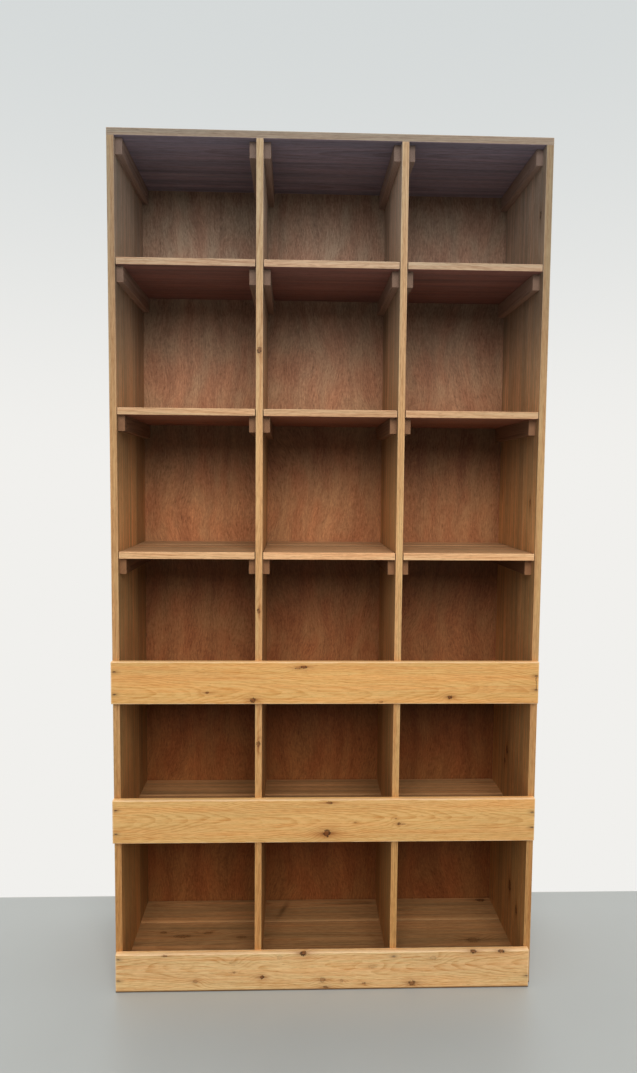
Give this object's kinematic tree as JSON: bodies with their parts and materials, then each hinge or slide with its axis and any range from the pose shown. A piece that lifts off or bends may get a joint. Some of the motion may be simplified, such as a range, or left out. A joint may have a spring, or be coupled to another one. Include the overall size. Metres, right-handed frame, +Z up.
{
  "type": "cube bookcase",
  "caption": "Tall open bookcase of nailed pine boards: square pigeonholes, loose upper shelves on cleats, front rails at the lower shelves, a plinth and a plywood back.",
  "frame": {"origin": "on the floor, in the middle of the width and of the whole depth", "axes": "+Z up, -Y out of the open front, +X to the right for someone facing the front"},
  "size_m": [1, 0.338, 1.992],
  "materials": {
    "pine_upright": "planed pine, waxed and aged",
    "pine_top": "planed pine, waxed and aged",
    "pine_shelf": "planed pine, waxed and aged",
    "pine_cleat": "sawn pine batten",
    "pine_rail": "planed pine with knots, waxed",
    "plywood_back": "red-brown plywood, matt",
    "nail_steel": "dull bright-drawn wire"
  },
  "bodies": {
    "case": {"left_side_front_board": "pine_upright", "left_side_rear_board": "pine_upright", "left_divider_front_board": "pine_upright", "left_divider_rear_board": "pine_upright", "right_divider_front_board": "pine_upright", "right_divider_rear_board": "pine_upright", "right_side_front_board": "pine_upright", "right_side_rear_board": "pine_upright", "top_front_board": "pine_top", "top_rear_board": "pine_top", "shelf_4_left_front_board": "pine_shelf", "shelf_4_left_rear_board": "pine_shelf", "shelf_4_middle_front_board": "pine_shelf", "shelf_4_middle_rear_board": "pine_shelf", "shelf_4_right_front_board": "pine_shelf", "shelf_4_right_rear_board": "pine_shelf", "shelf_5_left_front_board": "pine_shelf", "shelf_5_left_rear_board": "pine_shelf", "shelf_5_middle_front_board": "pine_shelf", "shelf_5_middle_rear_board": "pine_shelf", "shelf_5_right_front_board": "pine_shelf", "shelf_5_right_rear_board": "pine_shelf", "shelf_6_left_front_board": "pine_shelf", "shelf_6_left_rear_board": "pine_shelf", "shelf_6_middle_front_board": "pine_shelf", "shelf_6_middle_rear_board": "pine_shelf", "shelf_6_right_front_board": "pine_shelf", "shelf_6_right_rear_board": "pine_shelf", "top_cleats": "pine_cleat", "shelf_1_cleats": "pine_cleat", "shelf_2_cleats": "pine_cleat", "shelf_3_cleats": "pine_cleat", "floor_cleats": "pine_cleat", "upper_rail": "pine_rail", "lower_rail": "pine_rail", "plinth": "pine_rail", "back_panel": "plywood_back", "rail_nails": "nail_steel", "top_nails": "nail_steel", "side_nails": "nail_steel", "cleat_nails": "nail_steel", "back_nails": "nail_steel"},
    "shelf_1_left": {"shelf_1_left_front_board": "pine_shelf", "shelf_1_left_rear_board": "pine_shelf"},
    "shelf_1_middle": {"shelf_1_middle_front_board": "pine_shelf", "shelf_1_middle_rear_board": "pine_shelf"},
    "shelf_1_right": {"shelf_1_right_front_board": "pine_shelf", "shelf_1_right_rear_board": "pine_shelf"},
    "shelf_2_left": {"shelf_2_left_front_board": "pine_shelf", "shelf_2_left_rear_board": "pine_shelf"},
    "shelf_2_middle": {"shelf_2_middle_front_board": "pine_shelf", "shelf_2_middle_rear_board": "pine_shelf"},
    "shelf_2_right": {"shelf_2_right_front_board": "pine_shelf", "shelf_2_right_rear_board": "pine_shelf"},
    "shelf_3_left": {"shelf_3_left_front_board": "pine_shelf", "shelf_3_left_rear_board": "pine_shelf"},
    "shelf_3_middle": {"shelf_3_middle_front_board": "pine_shelf", "shelf_3_middle_rear_board": "pine_shelf"},
    "shelf_3_right": {"shelf_3_right_front_board": "pine_shelf", "shelf_3_right_rear_board": "pine_shelf"}
  },
  "joints": [
    {"name": "shelf_1_left_pull", "type": "slide", "parent": "case", "child": "shelf_1_left", "axis": [0, -1, 0], "range_m": [0, 0.12]},
    {"name": "shelf_1_middle_pull", "type": "slide", "parent": "case", "child": "shelf_1_middle", "axis": [0, -1, 0], "range_m": [0, 0.12]},
    {"name": "shelf_1_right_pull", "type": "slide", "parent": "case", "child": "shelf_1_right", "axis": [0, -1, 0], "range_m": [0, 0.12]},
    {"name": "shelf_2_left_pull", "type": "slide", "parent": "case", "child": "shelf_2_left", "axis": [0, -1, 0], "range_m": [0, 0.12]},
    {"name": "shelf_2_middle_pull", "type": "slide", "parent": "case", "child": "shelf_2_middle", "axis": [0, -1, 0], "range_m": [0, 0.12]},
    {"name": "shelf_2_right_pull", "type": "slide", "parent": "case", "child": "shelf_2_right", "axis": [0, -1, 0], "range_m": [0, 0.12]},
    {"name": "shelf_3_left_pull", "type": "slide", "parent": "case", "child": "shelf_3_left", "axis": [0, -1, 0], "range_m": [0, 0.12]},
    {"name": "shelf_3_middle_pull", "type": "slide", "parent": "case", "child": "shelf_3_middle", "axis": [0, -1, 0], "range_m": [0, 0.12]},
    {"name": "shelf_3_right_pull", "type": "slide", "parent": "case", "child": "shelf_3_right", "axis": [0, -1, 0], "range_m": [0, 0.12]}
  ]
}
